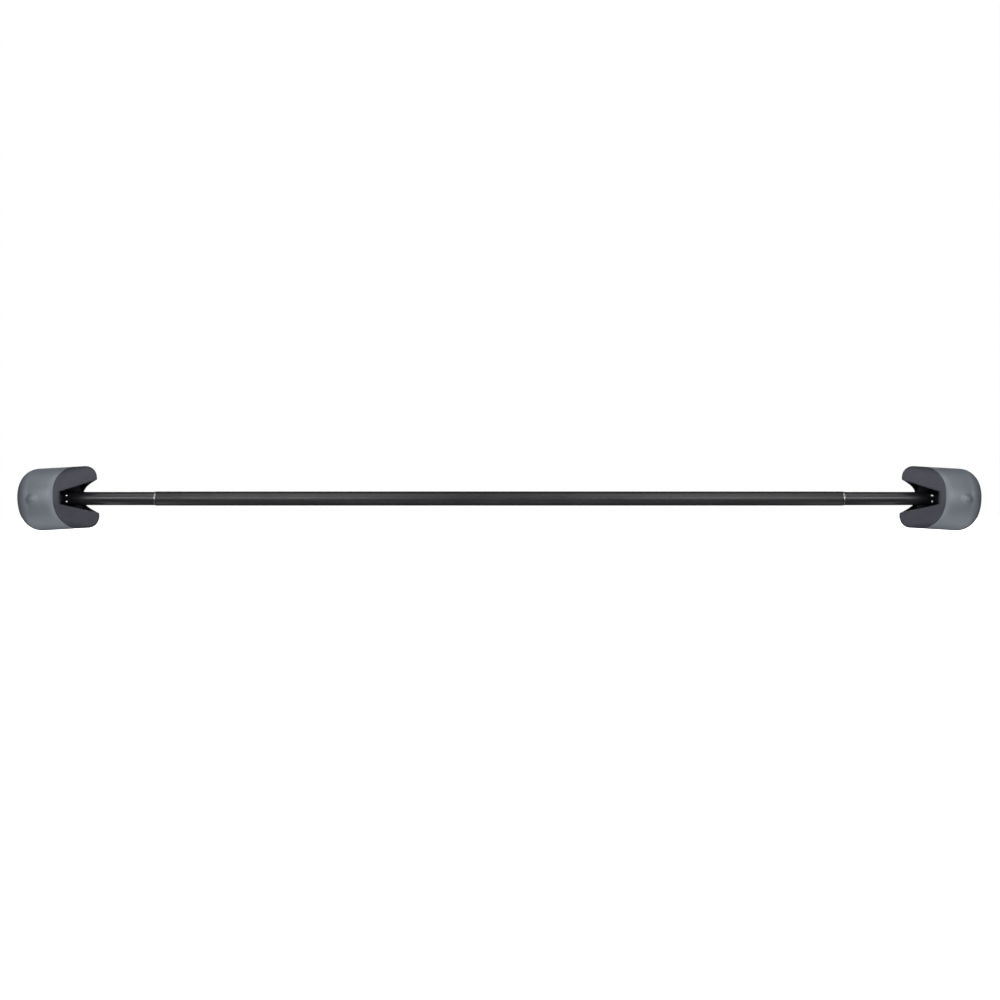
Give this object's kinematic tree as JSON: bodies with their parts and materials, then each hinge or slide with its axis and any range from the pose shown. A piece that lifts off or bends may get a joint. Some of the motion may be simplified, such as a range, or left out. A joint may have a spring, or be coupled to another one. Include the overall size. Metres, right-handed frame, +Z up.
{
  "type": "pull up bar",
  "caption": "Telescopic tension-fitted pull up bar: a turning matte grip tube pushes out glossy end tubes with swivelling, V-notched rubber-covered pads.",
  "frame": {"origin": "middle of the grip tube's axis, at the centre of the whole bar", "axes": "+X along the bar to the right, +Y to the back, +Z up"},
  "size_m": [1.8734, 0.138, 0.127],
  "materials": {
    "matte_grip": "matte powder coat",
    "bright_ring": "bright turned edge",
    "gloss_enamel": "glossy enamel",
    "plain_steel": "zinc plated",
    "bright_rivet": "bright zinc",
    "nut_brass": "machined",
    "white_nylon": "natural nylon",
    "core_plastic": "fine moulded texture",
    "pad_rubber": "soft matte rubber"
  },
  "bodies": {
    "grip": {"centre_tube": "matte_grip", "left_end_ring": "bright_ring", "left_screw_anchor": "plain_steel", "left_jack_screw": "plain_steel", "left_anchor_nut": "plain_steel", "left_screw_stop": "plain_steel", "right_end_ring": "bright_ring", "right_screw_anchor": "plain_steel", "right_jack_screw": "plain_steel", "right_anchor_nut": "plain_steel", "right_screw_stop": "plain_steel"},
    "left_glide": {"left_glide_ring": "white_nylon"},
    "left_end": {"left_end_tube": "gloss_enamel", "left_drive_nut": "nut_brass", "left_nut_pins": "plain_steel", "left_glide_clip": "plain_steel", "left_knuckle": "gloss_enamel", "left_rivets": "bright_rivet"},
    "left_pad": {"left_pivot_pin": "plain_steel", "left_pivot_washers": "white_nylon", "left_core_front": "core_plastic", "left_core_back": "core_plastic", "left_core_screws": "plain_steel", "left_pad_cover": "pad_rubber"},
    "right_glide": {"right_glide_ring": "white_nylon"},
    "right_end": {"right_end_tube": "gloss_enamel", "right_drive_nut": "nut_brass", "right_nut_pins": "plain_steel", "right_glide_clip": "plain_steel", "right_knuckle": "gloss_enamel", "right_rivets": "bright_rivet"},
    "right_pad": {"right_pivot_pin": "plain_steel", "right_pivot_washers": "white_nylon", "right_core_front": "core_plastic", "right_core_back": "core_plastic", "right_core_screws": "plain_steel", "right_pad_cover": "pad_rubber"}
  },
  "joints": [
    {"name": "left_travel", "type": "slide", "parent": "grip", "child": "left_glide", "axis": [-1, 0, 0], "range_m": [-0.1002, 0.0602]},
    {"name": "left_twist", "type": "hinge", "parent": "left_glide", "child": "left_end", "pos_m": [-0.55, 0, 0], "axis": [1, 0, 0], "range_deg": [-9000, 5400]},
    {"name": "left_swivel", "type": "hinge", "parent": "left_end", "child": "left_pad", "pos_m": [-0.866, 0, 0], "axis": [0, -1, 0], "range_deg": [-16.8, 10.1]},
    {"name": "right_travel", "type": "slide", "parent": "grip", "child": "right_glide", "axis": [1, 0, 0], "range_m": [-0.1002, 0.0602]},
    {"name": "right_twist", "type": "hinge", "parent": "right_glide", "child": "right_end", "pos_m": [0.55, 0, 0], "axis": [1, 0, 0], "range_deg": [-9000, 5400]},
    {"name": "right_swivel", "type": "hinge", "parent": "right_end", "child": "right_pad", "pos_m": [0.866, 0, 0], "axis": [0, 1, 0], "range_deg": [-16.8, 10.1]}
  ],
  "couplings": [
    {"joint": "left_travel", "follows": "left_twist", "m_per_rad": 0.00063662},
    {"joint": "right_travel", "follows": "right_twist", "m_per_rad": 0.00063662}
  ]
}
